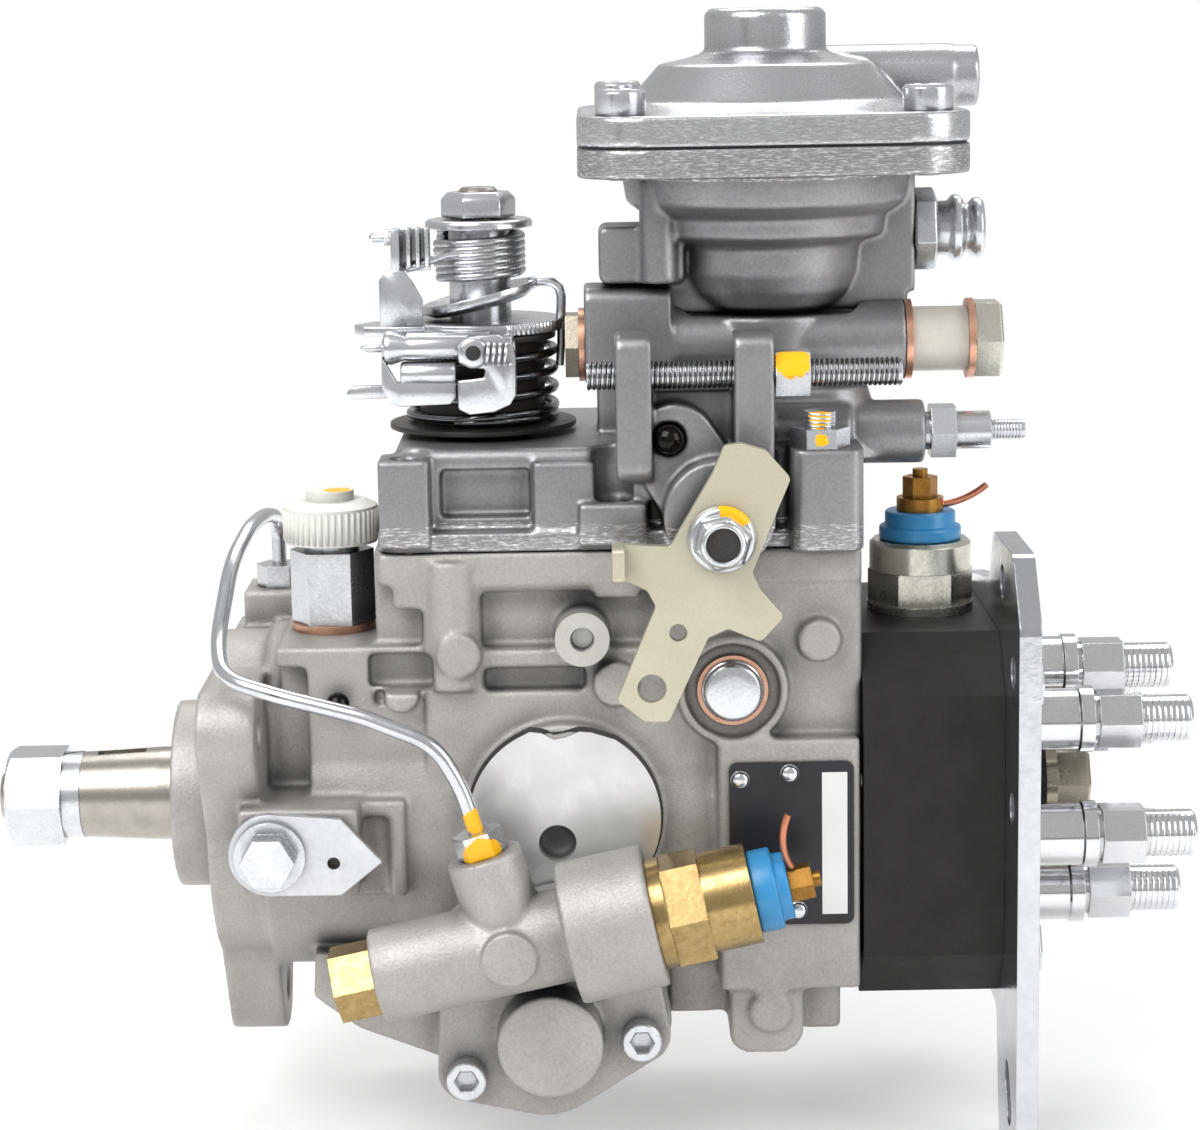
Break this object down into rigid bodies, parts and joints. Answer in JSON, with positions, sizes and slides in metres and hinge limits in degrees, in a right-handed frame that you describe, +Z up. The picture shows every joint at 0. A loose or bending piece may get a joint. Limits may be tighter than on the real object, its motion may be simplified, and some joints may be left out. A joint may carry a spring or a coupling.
{
  "type": "diesel injection pump",
  "caption": "Rotary distributor injection pump for a diesel engine, with boost unit, throttle and stop levers, solenoids and rear bracket.",
  "frame": {"origin": "the drive axis at the mounting flange's front face", "axes": "+X along the drive axis from the coupling end to the outlets, -Y towards the side with the stop lever, +Z up"},
  "size_m": [0.316, 0.1466, 0.291],
  "materials": {
    "cast_aluminium": "blasted sand casting",
    "die_cast_aluminium": "smooth die casting",
    "black_iron": "blackened, matt",
    "bright_zinc": "bright zinc plate",
    "gold_zinc": "yellow passivated zinc",
    "copper": "annealed copper",
    "milky_plastic": "translucent moulded",
    "blue_plastic": "moulded",
    "white_plastic": "moulded",
    "black_label": "anodised plate",
    "rubber": "moulded",
    "bronze": "sintered",
    "ground_steel": "ground",
    "spring_steel": "drawn wire",
    "beige_zinc": "pale passivated zinc"
  },
  "bodies": {
    "casing": {"pump_housing": "cast_aluminium", "governor_cover": "die_cast_aluminium", "boost_housing": "die_cast_aluminium", "boost_cover": "die_cast_aluminium", "cold_start_housing": "cast_aluminium", "distributor_head": "black_iron", "rear_bracket": "bright_zinc", "outlet_holders": "bright_zinc", "hex_plugs": "gold_zinc", "hex_bolts": "bright_zinc", "m6_screws": "bright_zinc", "adjusting_screws": "bright_zinc", "copper_washers": "copper", "overflow_bolt": "bright_zinc", "overflow_spacer": "milky_plastic", "vent_fitting": "bright_zinc", "shutoff_solenoid": "bright_zinc", "terminal_insulators": "blue_plastic", "terminals": "gold_zinc", "cold_start_solenoid": "gold_zinc", "fuel_line": "bright_zinc", "line_nuts": "bright_zinc", "inlet_fitting": "bright_zinc", "inlet_cap": "white_plastic", "lock_plate": "bright_zinc", "nameplate": "black_label", "inspection_plug": "bright_zinc", "boost_diaphragm": "rubber", "shaft_seal": "rubber", "shaft_bush": "bronze", "feed_pump_stator": "ground_steel", "governor_shaft": "ground_steel", "boost_spring": "spring_steel", "timing_spring": "spring_steel", "plunger_springs": "spring_steel", "spring_bridge": "ground_steel"},
    "drive": {"drive_shaft": "ground_steel", "drive_nut": "bright_zinc", "lock_washer": "bright_zinc", "drive_gear": "ground_steel", "feed_rotor": "ground_steel", "cam_disc": "ground_steel", "distributor_plunger": "ground_steel"},
    "governor": {"governor_cage": "ground_steel", "flyweights": "ground_steel"},
    "sleeve": {"governor_sleeve": "ground_steel"},
    "lever": {"governor_lever": "ground_steel"},
    "control": {"control_sleeve": "ground_steel"},
    "timing": {"timing_piston": "ground_steel"},
    "ring": {"roller_ring": "ground_steel", "rollers": "ground_steel"},
    "throttle": {"throttle_shaft": "ground_steel", "throttle_lever": "bright_zinc", "throttle_nut": "bright_zinc", "throttle_springs": "spring_steel"},
    "stop": {"stop_lever": "beige_zinc", "stop_shaft": "ground_steel", "stop_nut": "bright_zinc"},
    "boost": {"boost_rod": "ground_steel"},
    "shutoff": {"shutoff_armature": "ground_steel"}
  },
  "joints": [
    {"name": "drive_spin", "type": "hinge", "parent": "casing", "child": "drive", "pos_m": [0, 0, 0], "axis": [1, 0, 0], "continuous": true},
    {"name": "governor_spin", "type": "hinge", "parent": "casing", "child": "governor", "pos_m": [0.05, 0, 0.0451], "axis": [1, 0, 0], "continuous": true},
    {"name": "governor_slide", "type": "slide", "parent": "casing", "child": "sleeve", "axis": [1, 0, 0], "range_m": [0, 0.0025]},
    {"name": "governor_tilt", "type": "hinge", "parent": "casing", "child": "lever", "pos_m": [0.119, 0, 0.031], "axis": [0, 1, 0], "range_deg": [0, 12.1]},
    {"name": "control_slide", "type": "slide", "parent": "casing", "child": "control", "axis": [1, 0, 0], "range_m": [-0.004, 0]},
    {"name": "timing_slide", "type": "slide", "parent": "casing", "child": "timing", "axis": [0, 1, 0], "range_m": [0, 0.008], "deforming": ["timing_spring"]},
    {"name": "ring_turn", "type": "hinge", "parent": "casing", "child": "ring", "pos_m": [0.086, 0, 0], "axis": [1, 0, 0], "range_deg": [0, 9.4]},
    {"name": "throttle_turn", "type": "hinge", "parent": "casing", "child": "throttle", "pos_m": [0.072, -0.004, 0.1], "axis": [0, 0, 1], "range_deg": [0, 35]},
    {"name": "stop_turn", "type": "hinge", "parent": "casing", "child": "stop", "pos_m": [0.132, -0.06, 0.078], "axis": [0, 1, 0], "range_deg": [0, 30]},
    {"name": "boost_stroke", "type": "slide", "parent": "casing", "child": "boost", "axis": [0, 0, 1], "range_m": [-0.006, 0], "deforming": ["boost_spring"]},
    {"name": "shutoff_lift", "type": "slide", "parent": "casing", "child": "shutoff", "axis": [0, 0, 1], "range_m": [0, 0.003]}
  ],
  "couplings": [
    {"joint": "governor_spin", "follows": "drive_spin", "ratio": -1.6087},
    {"joint": "governor_tilt", "follows": "governor_slide", "rad_per_m": 84},
    {"joint": "control_slide", "follows": "governor_slide", "ratio": -1.559},
    {"joint": "ring_turn", "follows": "timing_slide", "rad_per_m": 20.408}
  ]
}
